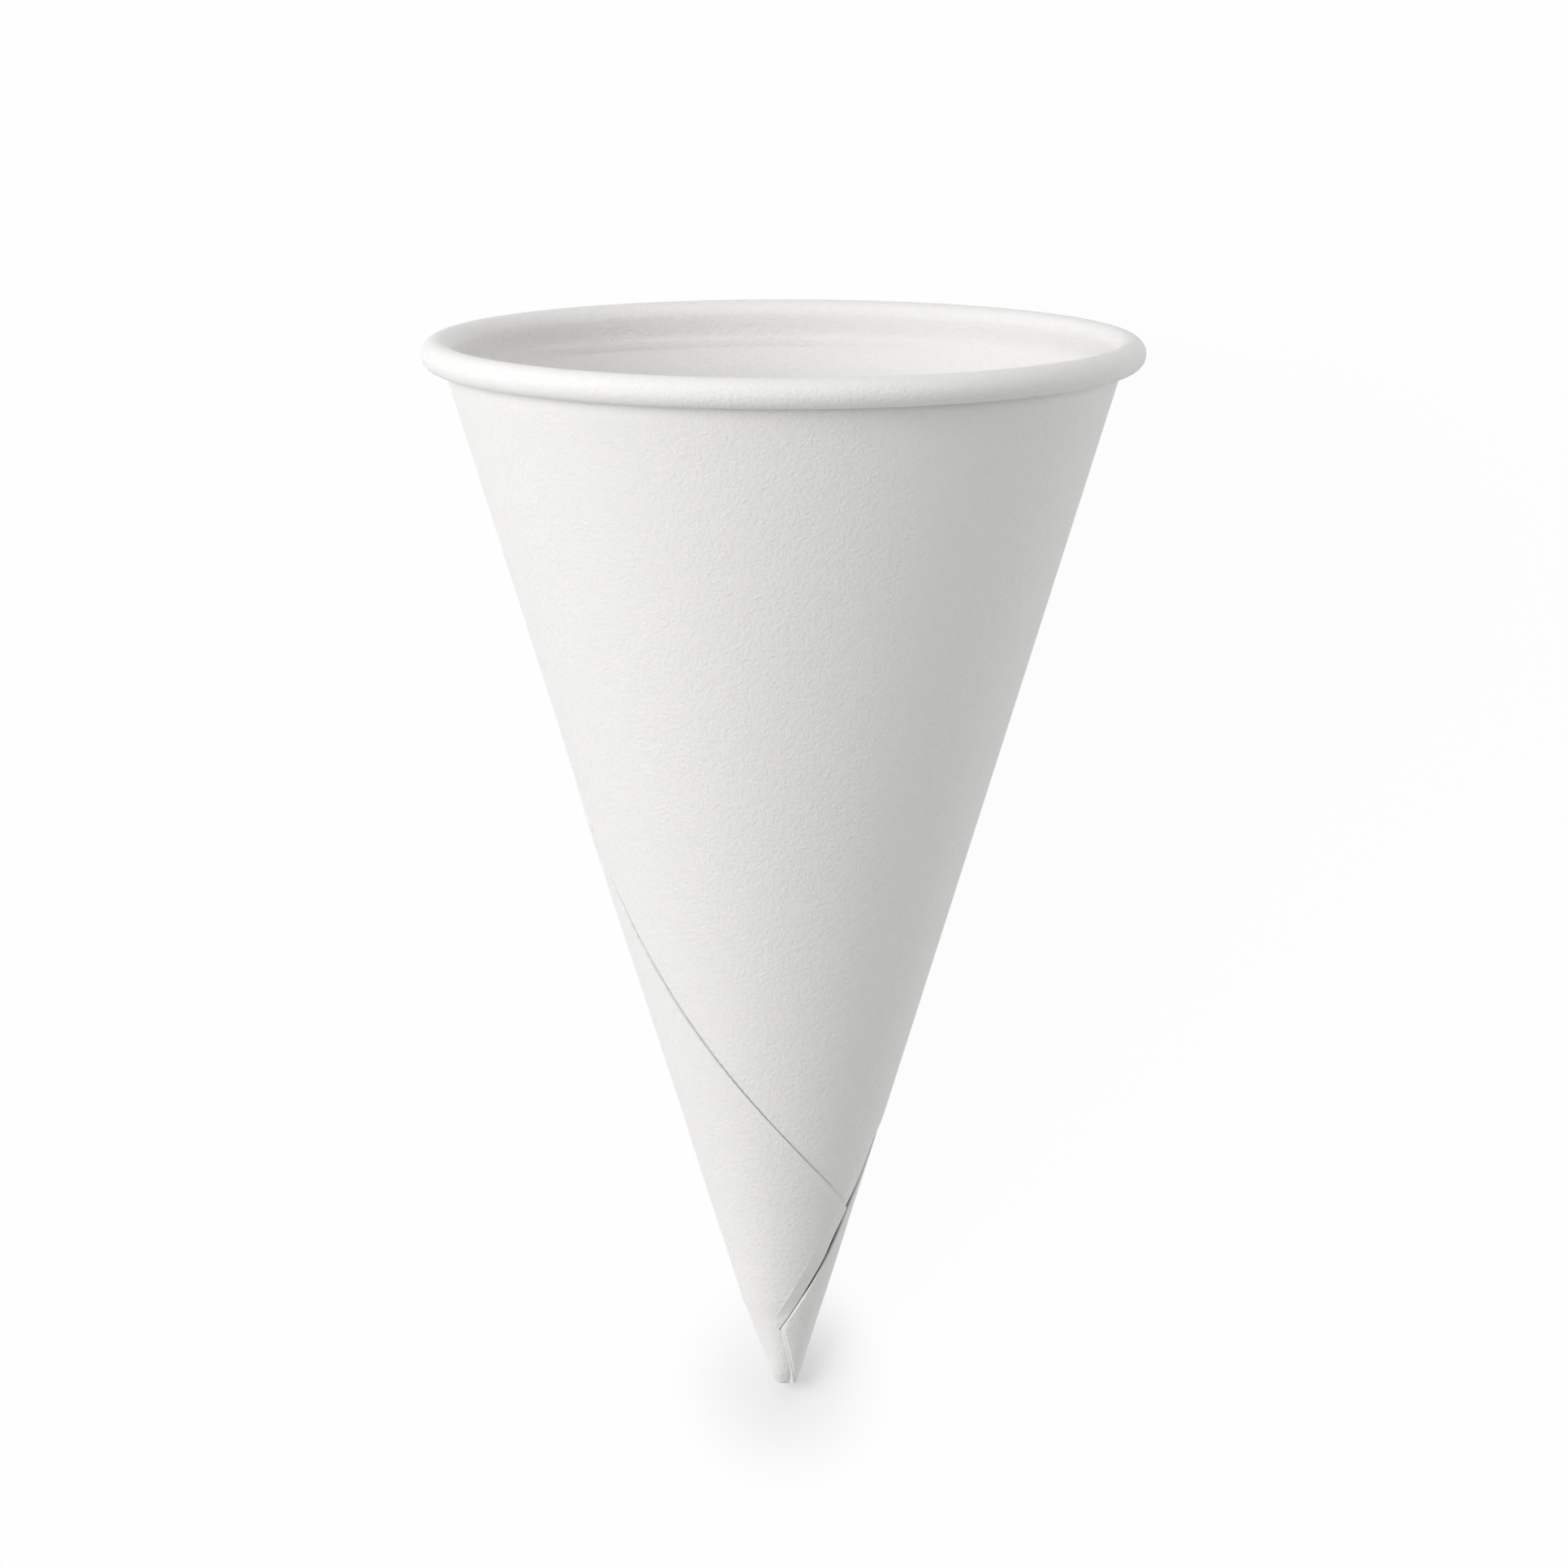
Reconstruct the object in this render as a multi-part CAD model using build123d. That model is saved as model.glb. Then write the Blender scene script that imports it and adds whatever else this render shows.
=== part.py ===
from build123d import *
from math import asin, atan2, cos, degrees, exp, hypot, pi, radians, sin, tan
import os

# Cone paper cup: one sheet of paper wound a turn and a third into a cone. Its outer end is
# lapped down a slanting seam, its mouth is rolled outward, and its point is closed by a tab of the
# same sheet, folded in between the turns.
#
# The cup is drawn standing on its point, then laid on its side as it comes to rest, doubled wall down.
# While it is drawn, heights are taken from the sharp point that the wall would run to, and a slant
# is a distance from that point along the wall. Azimuths are in degrees round the cup from the side
# that shows the lap's corner, positive to the right when the mouth is up. A lift is a distance out
# from the wall's outer face, and a depth is one in from it. A place is a slant and an azimuth.

# The cone
rim_diameter = 70.0           # over the rolled rim
roll_diameter = 2.9           # of the rolled rim's own round section
half_angle = 17.2             # between the wall and the cup's axis, in degrees
wall_inset = 0.41             # from the middle of the roll in to the wall's outer face
sheet = 0.2                   # thickness of the paper

# The rolled rim
neck_drop = 2.4               # from the middle of the roll down to where the wall starts to bend
roll_angle = 118.0            # how far the roll goes on past its outermost side, in degrees

# The inside of the point, where more turns lie on each other
turns_slant = 50.0            # where the wall starts to thicken
fold_slant = 31.0             # where the folded tab starts
fold_wall = 0.65              # wall there
floor_height = 10.0           # where the round floor of the inside starts
floor_radius = 2.1
floor_depth = 1.4
closing_angle = 30.0          # azimuth where the turned surfaces close, clear of every cut edge
full_turn = 360.0

# The outside of the point
pinch_slant = 26.0            # the wall runs in a little more steeply from here to the point
pinch = 0.15                  # and by this much at its lower end
nose_slant = 8.0              # where the rounding of the point starts
end_height = 4.7              # where the point is cut off
end_radius = 0.8
end_angle = 35.0              # between the rounding and the axis at the cut end, in degrees
eye_radius = 0.4              # the eye of the wound paper, seen in the cut end
eye_depth = 0.9

# The seam: the cut edge of the outer turn, from the roll down to the lap's corner
seam_drop = 1.65              # from the middle of the roll down to the seam's upper end
seam_upper_azimuth = -117.0
seam_side_slant = 66.0        # where the seam comes round the cup's left side
seam_side_azimuth = -83.0
seam_middle_slant = 46.9
seam_middle_azimuth = -47.8
seam_lower_slant = 33.6
seam_lower_azimuth = -2.3
corner_slant = 24.2           # of the lap's corner
corner_azimuth = 61.0

# The lap: the outer turn's end, which lies on the turn below
lap_turn_angle = 75.0         # how far round from the seam its step has sunk into the wall, in degrees
lap_depth = 0.1               # how deep its outer face has sunk by then
lap_root = 0.05               # how much deeper its inner face lies, all in the wall
foot_slant = 15.0             # where it lies flat under the tab
foot_turn_angle = 140.0       # its step's turn there, in degrees
foot_depth = 0.25             # its outer face's depth there, once it has sunk
foot_sink = 1.5               # how far its lower end sinks on under the tab, in sheets
foot_cover = 1.0              # how far it runs on under the tab
crease_turn_angle = 19.0      # from its lower edge round to the soft crease beside it, in degrees
crease_dip = 0.18             # how far it sinks between the two
seam_sections = 13            # sections that form it down the seam
seam_crowding = 1.7           # how much closer they stand towards the lap's corner
foot_sections = 6             # sections that form it down its lower edge

# The inner turn: the sheet's inner end, which doubles the wall from its own edge round to the seam
inner_upper_azimuth = 105.0   # of its cut edge under the roll
inner_lower_slant = 40.0      # where it has sunk into the thickened wall
inner_lower_azimuth = 150.0   # of its cut edge there
inner_bury = 0.15             # how deep its thin ends lie in the wall's inner face
inner_root = 0.02             # depth of its outer face, all in the wall
inner_press = 3.0             # length below the roll over which it is pressed flat
inner_sections = 8

# The tab: a leaf of the sheet between the lap's lower edge and the turn above it
peak_slant = 35.5             # of the tab's upper end
peak_azimuth = 88.0
hem_slant = 11.35             # of the sharp corner in its front edge, where its hem starts
hem_azimuth = -7.0
hem_end_gap = 0.08            # from the cup's cut end up to the hem's end
hem_end_azimuth = 40.0
back_upper_slant = 24.0       # its back edge, under the turns
back_upper_azimuth = 148.0
back_lower_azimuth = 180.0    # level with the sharp corner
back_end_azimuth = 190.0      # level with the hem's end
tab_depth = 0.16              # how deep its front edge lies under the wall's outer face at the lap's corner
tab_rise = 0.2                # how far its hem stands over it
tab_sink = 0.1                # how deep its middle lies at the lap's corner
tab_root = 0.5                # depth of its inner face in the wall
tab_root_end = 0.8            # and at the cup's end
tab_flank = 0.5               # share of its width over which its front edge's height fades
tab_back_flank = 0.08         # share of its width over which its back edge sinks
tab_tuck_angle = 6.0          # how far its back edge runs on under the turns, in degrees
tab_end_angle = 40.0          # width of its lower end round the cup, in degrees
tab_draw = 0.75               # share of the hem from which its back edge draws in to that
hem_sections = 7              # sections along its hem
front_sections = 6            # sections from the lap's corner down to the sharp corner
top_sections = 5              # sections from its upper end down to the lap's corner

# The gap round the tab
gap_depth = 0.42              # below the wall's outer face
recess_top = 1.0              # above it, clear of the lap
gap_width = 0.14
gap_corner = 0.22             # how much wider it is at the lap's corner
gap_reach = 3.0               # how far along the slant that widening fades
peak_drop = 0.5               # from the tab's upper end down to the gap's
tab_drop = 1.5                # and down to where the tab comes out of the wall
under_length = 4.4            # how far the gap runs on under the hem
under_left_angle = 36.0       # how far its sides draw together there, in degrees
under_right_angle = 16.0
under_sections = 5

band_points = 13              # along a section's curved side
search_steps = 40             # halvings in the search for an edge's azimuth
least_length = 1e-6

tan_half = tan(radians(half_angle))
sin_half = sin(radians(half_angle))
cos_half = cos(radians(half_angle))

roll_radius = roll_diameter / 2
roll_middle = rim_diameter / 2 - roll_radius
rim_height = (roll_middle - wall_inset) / tan_half
neck_height = rim_height - neck_drop
neck_slant = neck_height / cos_half
hem_end_slant = (end_height + hem_end_gap) / cos_half


def share(value, start, end):
    """How far a value has gone from start to end, between 0 and 1."""
    return min(max((value - start) / (end - start), 0.0), 1.0)


def ease(value, start, end):
    """The same, with a smooth start and end."""
    part = share(value, start, end)
    return part * part * (3 - 2 * part)


def blend(part, start, end):
    """Value at a share of the way from start to end."""
    return start + (end - start) * part


def spread(start, end, count, crowding=1.0):
    """Values from start to end, both included, closer to each other towards the end with crowding."""
    parts = [step / (count - 1) for step in range(count)]
    return [blend(1 - (1 - part) ** crowding, start, end) for part in parts]


def fall(part):
    """Smooth fall from 1 to 0 while part goes from 0 to 1."""
    return (1 + cos(pi * min(part, 1.0))) / 2


def wall_radius(height):
    """Radius of the wall's outer face at a height."""
    return height * tan_half - pinch * share(height / cos_half, pinch_slant, nose_slant)


def ring_point(height, azimuth, lift):
    """Point level with a height, lifted off the wall's outer face."""
    radius = wall_radius(height) + lift / cos_half
    turn = radians(azimuth)
    return Vector(radius * sin(turn), -radius * cos(turn), height)


def unroll(slant, azimuth):
    """Point of the flat sheet, with the cone's sharp point at its origin."""
    turn = radians(azimuth) * sin_half
    return (slant * sin(turn), slant * cos(turn))


def wind(point):
    """Place on the cone of a point of the flat sheet."""
    return hypot(point.X, point.Y), degrees(atan2(point.X, point.Y)) / sin_half


# The cut edges of the flat sheet, each from the mouth's side towards the point
corner = unroll(corner_slant, corner_azimuth)
hem_corner = unroll(hem_slant, hem_azimuth)
peak = unroll(peak_slant, peak_azimuth)
seam = Spline(
    unroll((rim_height - seam_drop) / cos_half, seam_upper_azimuth),
    unroll(seam_side_slant, seam_side_azimuth),
    unroll(seam_middle_slant, seam_middle_azimuth),
    unroll(seam_lower_slant, seam_lower_azimuth),
    corner,
)
foot = Line(corner, hem_corner)
shoulder = Line(peak, corner)
hem = Line(hem_corner, unroll(hem_end_slant, hem_end_azimuth))
back = Spline(
    peak,
    unroll(back_upper_slant, back_upper_azimuth),
    unroll(hem_slant, back_lower_azimuth),
    unroll(hem_end_slant, back_end_azimuth),
)
inner_edge = Line(
    unroll(neck_slant, inner_upper_azimuth),
    unroll(inner_lower_slant, inner_lower_azimuth),
)


def azimuth_on(edges, slant):
    """Azimuth at which the first of some edges that reaches a slant has it."""
    for edge in edges:
        low, high = (edge @ 1).length, (edge @ 0).length
        if low - least_length <= slant <= high + least_length:
            break
    near, far = 0.0, 1.0
    for _ in range(search_steps):
        middle = (near + far) / 2
        if (edge @ middle).length > slant:
            near = middle
        else:
            far = middle
    return wind(edge @ near)[1]


def level_curve(slant, start, end, lifts):
    """Level curve round the wall, with a lift given at each share of the way from start to end."""
    parts = spread(0.0, 1.0, band_points)
    points = [ring_point(slant * cos_half, blend(part, start, end), lifts(part)) for part in parts]
    return Edge.make_spline(points, parameters=parts)


def band(slant, start, end, floor, lifts):
    """Level ring sector between a plain side at a floor lift and a shaped side, as a face."""
    shaped = level_curve(slant, start, end, lifts)
    plain = level_curve(slant, end, start, lambda part: floor)
    ends = [(shaped @ 1, plain @ 0), (plain @ 1, shaped @ 0)]
    sides = [Line(*pair) for pair in ends if (pair[1] - pair[0]).length > least_length]
    return make_face([shaped, plain] + sides)


def joined(*runs):
    """Solid through runs of sections, each run lofted smoothly from the section it shares with the last."""
    solid = loft(runs[0])
    for run in runs[1:]:
        solid += loft(run)
    return solid


def cup_body():
    """The wall and the rolled rim, turned from one section."""
    outer_neck = Vector(wall_radius(neck_height), neck_height)
    across = Vector(-cos_half, sin_half) * sheet
    fold_height = fold_slant * cos_half
    turns_height = turns_slant * cos_half
    pinch_start = (wall_radius(pinch_slant * cos_half), pinch_slant * cos_half)
    nose = (wall_radius(nose_slant * cos_half), nose_slant * cos_half)
    end = (end_radius, end_height)
    end_run = (-tan(radians(end_angle)), -1)
    floor_bottom = (0, floor_height - floor_depth)
    floor_edge = (floor_radius, floor_height)
    outside = [
        Line(outer_neck, pinch_start),
        Line(pinch_start, nose),
        Spline(nose, end, tangents=((-tan_half, -1), end_run)),
    ]
    cut_end = Polyline(end, (eye_radius, end_height), (0, end_height + eye_depth), floor_bottom)
    floor = TangentArc(floor_bottom, floor_edge, tangent=(1, 0))
    inside = Polyline(
        floor_edge,
        (wall_radius(fold_height) - fold_wall / cos_half, fold_height),
        (wall_radius(turns_height) - sheet / cos_half, turns_height),
        outer_neck + across,
        outer_neck,
    )
    wall = make_face(outside + [cut_end, floor, inside])

    line_radius = roll_radius - sheet / 2
    neck = Spline(
        outer_neck + across / 2,
        (roll_middle - line_radius, rim_height),
        tangents=((tan_half, 1), (0, 1)),
    )
    roll = CenterArc((roll_middle, rim_height), line_radius, 180, -180 - roll_angle)
    section = wall + trace(neck + roll, sheet)
    return revolve(Plane.YZ * section, Axis.Z).rotate(Axis.Z, closing_angle)


def lap_section(slant, azimuth, end_slant):
    """Level section of the lap: a crescent, one sheet high at its cut edge, that sinks into the wall."""
    level = 1 - foot_sink * ease(slant, foot_slant, end_slant)
    dip = crease_dip * ease(slant, corner_slant, foot_slant) * max(level, 0.0)
    depth = blend(ease(slant, fold_slant, foot_slant), lap_depth, foot_depth)
    turn = blend(ease(slant, fold_slant, foot_slant), lap_turn_angle, foot_turn_angle)

    def lifts(part):
        dent = max(0.0, 1 - part * turn / crease_turn_angle)
        return blend(fall(part), -depth, sheet * level) - dip * dent

    return band(slant, azimuth, azimuth - turn, -depth - lap_root, lifts)


def lap():
    """The outer turn's end, a thin crescent on the wall that sinks into it round the cup."""
    beside = (foot % 0.5).rotate(Axis.Z, 90) * foot_cover
    end_slant = wind(foot @ 1 + beside)[0]
    down_seam = [wind(seam @ part) for part in spread(0.0, 1.0, seam_sections, seam_crowding)]
    down_foot = [wind(foot @ part + beside) for part in spread(0.0, 1.0, foot_sections)[1:]]
    return joined(
        [lap_section(*place, end_slant) for place in down_seam],
        [lap_section(*place, end_slant) for place in down_seam[-1:] + down_foot],
    )


def inner_section(slant):
    """Level section of the inner turn, from its cut edge round to where the outer turn takes over."""
    start = azimuth_on([inner_edge], slant)
    end = azimuth_on([seam], slant) + full_turn
    pressed = share(slant, neck_slant, neck_slant - inner_press)

    def lifts(part):
        to_seam = (1 - part) * (end - start) / lap_turn_angle
        return -blend(pressed * (1 - fall(to_seam)), sheet - inner_bury, 2 * sheet)

    return band(slant, start, end, -inner_root, lifts)


def inner_turn():
    """The sheet's inner end, one sheet thick on the inside of the wall."""
    slants = [neck_slant] + spread(neck_slant - inner_press, inner_lower_slant, inner_sections)
    return loft([inner_section(slant) for slant in slants])


def tab_sides(slant):
    """Azimuths of the tab's opening in the turns over it, left and right."""
    return azimuth_on([shoulder, foot, hem], slant), azimuth_on([back], slant)


def gap_turn(slant):
    """Width of the open gap beside the tab, as an angle round the cup."""
    gap = gap_width + gap_corner * exp(-(((slant - corner_slant) / gap_reach) ** 2))
    return degrees(gap / wall_radius(slant * cos_half))


def recess_section(slant):
    """Level section of the recess, which runs on under the tab's hem."""
    left, right = tab_sides(slant)
    under = share(slant, hem_slant, hem_slant - under_length)
    start = left + under_left_angle * under
    return band(slant, start, right - under_right_angle * under, -gap_depth, lambda part: recess_top)


def recess():
    """What the turns over the tab leave open, down to the bottom of the gap round it."""
    top = spread(peak_slant - peak_drop, corner_slant, top_sections)
    front = spread(corner_slant, hem_slant, front_sections)
    under = spread(hem_slant, hem_slant - under_length, under_sections)
    return joined(*[[recess_section(slant) for slant in run] for run in (top, front, under)])


def tab_section(slant):
    """Level section of the tab: its upper end lies under the turns beside it, its hem over them."""
    left, right = tab_sides(slant)
    low = share(slant, hem_slant, hem_end_slant)
    edge = blend(ease(slant, corner_slant, hem_slant), -tab_depth, tab_rise)
    sink = -blend(share(slant, corner_slant, hem_end_slant), tab_sink, 0.0)
    root = blend(low, tab_root, tab_root_end)
    drawn = share(low, tab_draw, 1.0)
    reach = blend(drawn, right + tab_tuck_angle, hem_end_azimuth + tab_end_angle)

    def lifts(part):
        front = blend(fall(part / tab_flank), sink, edge)
        return front - lap_depth * share(part, 1 - tab_back_flank, 1.0)

    return band(slant, left + gap_turn(slant), reach, -root, lifts)


def tab():
    """The folded tab, a leaf of the sheet with a sharp corner in its front edge."""
    top = spread(peak_slant - tab_drop, corner_slant, top_sections)
    front = spread(corner_slant, hem_slant, front_sections)
    lower = spread(hem_slant, hem_end_slant, hem_sections)
    return joined(*[[tab_section(slant) for slant in run] for run in (top, front, lower)])


def resting(cup):
    """The cup laid on its side, mouth towards +Y, the lap's corner up, as it comes to rest."""
    nose_height = nose_slant * cos_half
    rise = rim_height - nose_height
    run = roll_middle - wall_radius(nose_height)
    lean = degrees(atan2(run, rise) + asin(roll_radius / hypot(rise, run)))
    lying = cup.rotate(Axis.X, lean - 90)
    box = lying.bounding_box()
    return Pos(-box.center().X, -box.center().Y, -box.min.Z) * lying


wound = cup_body() + lap() + inner_turn()
cup = resting(wound - recess() + tab())
print("volume", cup.volume, "valid", cup.is_valid, "solids", len(cup.solids()), "faces", len(cup.faces()))
os.makedirs("parts", exist_ok=True)
export_step(cup, "parts/cup.step")
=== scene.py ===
"""Cone paper cup: one sheet of paper wound into a cone, with a rolled rim and a folded point.

The cup is drawn standing on its point, with the sharp point that its wall would run to at the
origin, and is then laid on its side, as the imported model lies. Heights are taken along its axis
and slants along its wall, both from that point, in metres. Azimuths are in degrees round the cup,
from the side that shows the lap's corner, positive to the right when the mouth is up. A lift is a
distance out from the wall's outer face.
"""

import logging
import math
from dataclasses import dataclass, field

import bpy
import numpy as np
from mathutils import Matrix, Vector


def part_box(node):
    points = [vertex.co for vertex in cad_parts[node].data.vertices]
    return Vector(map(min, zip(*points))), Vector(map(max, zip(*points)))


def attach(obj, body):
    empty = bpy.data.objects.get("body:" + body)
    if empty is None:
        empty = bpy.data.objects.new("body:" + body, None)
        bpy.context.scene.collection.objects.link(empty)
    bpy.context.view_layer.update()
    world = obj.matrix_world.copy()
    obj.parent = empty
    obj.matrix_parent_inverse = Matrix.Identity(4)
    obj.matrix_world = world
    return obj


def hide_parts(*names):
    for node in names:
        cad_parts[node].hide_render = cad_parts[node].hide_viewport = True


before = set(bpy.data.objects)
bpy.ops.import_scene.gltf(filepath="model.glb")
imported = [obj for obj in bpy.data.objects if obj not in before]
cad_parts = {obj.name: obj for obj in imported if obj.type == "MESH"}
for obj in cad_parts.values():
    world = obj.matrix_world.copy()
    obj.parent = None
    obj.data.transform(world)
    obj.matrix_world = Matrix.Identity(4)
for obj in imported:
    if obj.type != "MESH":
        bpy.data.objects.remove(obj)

log = logging.getLogger("cone_cup")

NODE = "cup"
BODY = "root"
FULL_TURN = 360.0
MERGE_DISTANCE = 1e-7
SMOOTH_ANGLE = 50.0

# A slant and an azimuth, or a radius and a height.
Place = tuple[float, float]
Point = tuple[float, float, float]
# Azimuths and lifts round the cup at one height.
Section = list[tuple[float, float]]


def share(value: float, start: float, end: float) -> float:
    """How far a value has gone from start to end, between 0 and 1."""
    return min(max((value - start) / (end - start), 0.0), 1.0)


def ease(value: float, start: float, end: float) -> float:
    """The same share, with a smooth start and end."""
    part = share(value, start, end)
    return part * part * (3 - 2 * part)


def blend(part: float, start: float, end: float) -> float:
    """Value at a share of the way from start to end."""
    return start + (end - start) * part


def fall(part: float) -> float:
    """Smooth fall from 1 to 0 while part goes from 0 to 1."""
    return (1 + math.cos(math.pi * min(max(part, 0.0), 1.0))) / 2


def spaced(stops: list[float], counts: tuple[int, ...]) -> list[float]:
    """Values from the first stop to the last, in even steps.

    Args:
        stops: Values that are all kept, in order.
        counts: How many steps there are between each stop and the next.

    Returns:
        The values.
    """
    values = [stops[0]]
    for start, end, count in zip(stops, stops[1:], counts):
        values += [blend(step / count, start, end) for step in range(1, count + 1)]
    return values


def cubic(part: float) -> np.ndarray:
    """Weights of a smooth curve's knots: its start, its end, its first and its last slope.

    Args:
        part: How far along the curve, from 0 to 1.

    Returns:
        The four weights.
    """
    square, cube = part**2, part**3
    start = 2 * cube - 3 * square + 1
    return np.array((start, 1 - start, cube - 2 * square + part, cube - square))


def cubic_slope(part: float) -> np.ndarray:
    """Weights of the same four knots for the curve's slope.

    Args:
        part: How far along the curve, from 0 to 1.

    Returns:
        The four weights.
    """
    square = part**2
    start = 6 * square - 6 * part
    return np.array((start, -start, 3 * square - 4 * part + 1, 3 * square - 2 * part))


@dataclass(frozen=True)
class Cone:
    """The cup's cone and its rolled rim.

    Attributes:
        rim_diameter: Over the rolled rim.
        roll_diameter: Of the rolled rim's own round section.
        half_angle: Between the wall and the axis, in degrees.
        wall_inset: From the middle of the roll in to the wall's outer face.
        sheet: Thickness of the paper.
        neck_drop: From the middle of the roll down to where the wall starts to bend.
        roll_angle: How far the roll goes on past its outermost side, in degrees.
        pinch_slant: Where the wall starts to run in a little more steeply.
        pinch: How far it has run in at the point.
        nose_slant: Where the rounding of the point starts.
        end_height: Where the point is cut off.
        end_radius: Of the cut end.
        end_angle: Between the rounding and the axis at the cut end, in degrees.
        eye_radius: Of the eye of the wound paper.
        eye_depth: Of that eye.
        turns_slant: Where the wall starts to thicken inward.
        fold_slant: Where the folded tab starts, inside.
        fold_wall: Thickness of the wall there.
        floor_height: Where the round floor of the inside starts.
        floor_radius: Of that floor.
        floor_depth: Of that floor's hollow.
    """

    rim_diameter: float = 0.0700
    roll_diameter: float = 0.0029
    half_angle: float = 17.2
    wall_inset: float = 0.00041
    sheet: float = 0.0002
    neck_drop: float = 0.0024
    roll_angle: float = 118.0
    pinch_slant: float = 0.0260
    pinch: float = 0.00015
    nose_slant: float = 0.0080
    end_height: float = 0.0047
    end_radius: float = 0.0007
    end_angle: float = 42.0
    eye_radius: float = 0.0004
    eye_depth: float = 0.0009
    turns_slant: float = 0.0500
    fold_slant: float = 0.0310
    fold_wall: float = 0.00065
    floor_height: float = 0.0100
    floor_radius: float = 0.0021
    floor_depth: float = 0.0014

    @property
    def tan_half(self) -> float:
        """Tangent of the half angle."""
        return math.tan(math.radians(self.half_angle))

    @property
    def sin_half(self) -> float:
        """Sine of the half angle."""
        return math.sin(math.radians(self.half_angle))

    @property
    def cos_half(self) -> float:
        """Cosine of the half angle."""
        return math.cos(math.radians(self.half_angle))

    @property
    def roll_radius(self) -> float:
        """Radius of the roll's own section."""
        return self.roll_diameter / 2

    @property
    def roll_middle(self) -> float:
        """Distance from the axis to the middle of the roll."""
        return self.rim_diameter / 2 - self.roll_radius

    @property
    def rim_height(self) -> float:
        """Height of the middle of the roll."""
        return (self.roll_middle - self.wall_inset) / self.tan_half

    @property
    def neck_height(self) -> float:
        """Height at which the wall starts to bend."""
        return self.rim_height - self.neck_drop

    def wall_radius(self, height: float) -> float:
        """Radius of the wall's outer face, run straight to the point."""
        drawn_in = share(height / self.cos_half, self.pinch_slant, self.nose_slant)
        return height * self.tan_half - self.pinch * drawn_in

    def nose_radius(self, height: float) -> float:
        """Radius of the wall's outer face with its rounded point.

        Args:
            height: Where it is taken, over the sharp point.

        Returns:
            The radius.
        """
        nose_height = self.nose_slant * self.cos_half
        if height >= nose_height:
            return self.wall_radius(height)
        span = nose_height - self.end_height
        part = (height - self.end_height) / span
        low_slope = math.tan(math.radians(self.end_angle)) * span
        high_slope = self.tan_half * span
        knots = (self.end_radius, self.wall_radius(nose_height), low_slope, high_slope)
        return float(cubic(part) @ knots)

    def wall_thickness(self, slant: float) -> float:
        """Thickness of the wall above the folded tab, where its turns add up."""
        return blend(share(slant, self.turns_slant, self.fold_slant), self.sheet, self.fold_wall)

    def point(self, radius: float, azimuth: float, height: float) -> Point:
        """Point at a radius, azimuth and height."""
        turn = math.radians(azimuth)
        return (radius * math.sin(turn), -radius * math.cos(turn), height)

    def ring(self, radius: float, height: float, section: Section) -> list[Point]:
        """Points round the cone at a height, each at its own azimuth and lift from a radius."""
        return [
            self.point(radius + lift / self.cos_half, azimuth, height) for azimuth, lift in section
        ]

    def round_rings(self, profile: list[Place], section: Section) -> list[list[Point]]:
        """Round rings at radii and heights, with points at a section's azimuths."""
        level = [(azimuth, 0.0) for azimuth, _ in section]
        return [self.ring(radius, height, level) for radius, height in profile]

    def unroll(self, place: Place) -> np.ndarray:
        """Point of the flat sheet at a slant and an azimuth.

        Args:
            place: The slant and the azimuth.

        Returns:
            The point, with the sharp point at the origin.
        """
        slant, azimuth = place
        turn = math.radians(azimuth) * self.sin_half
        return np.array((slant * math.sin(turn), slant * math.cos(turn)))

    def wind(self, points: np.ndarray) -> tuple[np.ndarray, np.ndarray]:
        """Slants and azimuths of points of the flat sheet."""
        turns = np.degrees(np.arctan2(points[:, 0], points[:, 1]))
        return np.hypot(points[:, 0], points[:, 1]), turns / self.sin_half


class CutEdge:
    """A cut edge of the flat sheet, straight or smooth through its places."""

    SAMPLES = 400

    def __init__(self, cone: Cone, places: list[Place]) -> None:
        """Draws the edge on the flat sheet and winds it on the cone.

        Args:
            cone: The cone that the sheet is wound on.
            places: Slants and azimuths that the edge goes through, from the mouth's side down.
        """
        knots = np.array([cone.unroll(place) for place in places])
        steps = np.concatenate(([0.0], np.cumsum(np.hypot(*np.diff(knots, axis=0).T))))
        along = np.linspace(0.0, steps[-1], self.SAMPLES)
        points = np.column_stack([self._smooth(steps, knots[:, axis], along) for axis in (0, 1)])
        slants, azimuths = cone.wind(points)
        order = np.argsort(slants)
        self._slants = slants[order]
        self._azimuths = azimuths[order]

    @staticmethod
    def _smooth(steps: np.ndarray, values: np.ndarray, along: np.ndarray) -> np.ndarray:
        """Natural cubic curve through values at steps, read along it.

        Args:
            steps: Lengths along the edge at which the values are known.
            values: One of the flat sheet's coordinates there.
            along: Lengths at which the curve is read.

        Returns:
            The coordinate at each of those lengths.
        """
        count = len(steps)
        gaps = np.diff(steps)
        system = np.eye(count)
        right = np.zeros(count)
        for knot in range(1, count - 1):
            before, after = gaps[knot - 1], gaps[knot]
            system[knot, knot - 1 : knot + 2] = before, 2 * (before + after), after
            rises = np.diff(values[knot - 1 : knot + 2]) / (before, after)
            right[knot] = 6 * (rises[1] - rises[0])
        bends = np.linalg.solve(system, right)
        run = np.clip(np.searchsorted(steps, along, side="right") - 1, 0, count - 2)
        gap = gaps[run]
        behind = (along - steps[run]) / gap
        ahead = 1 - behind
        bending = (ahead**3 - ahead) * bends[run] + (behind**3 - behind) * bends[run + 1]
        return ahead * values[run] + behind * values[run + 1] + bending * gap**2 / 6

    def azimuth(self, slant: float) -> float:
        """Azimuth of the edge at a slant."""
        return float(np.interp(slant, self._slants, self._azimuths))


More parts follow.
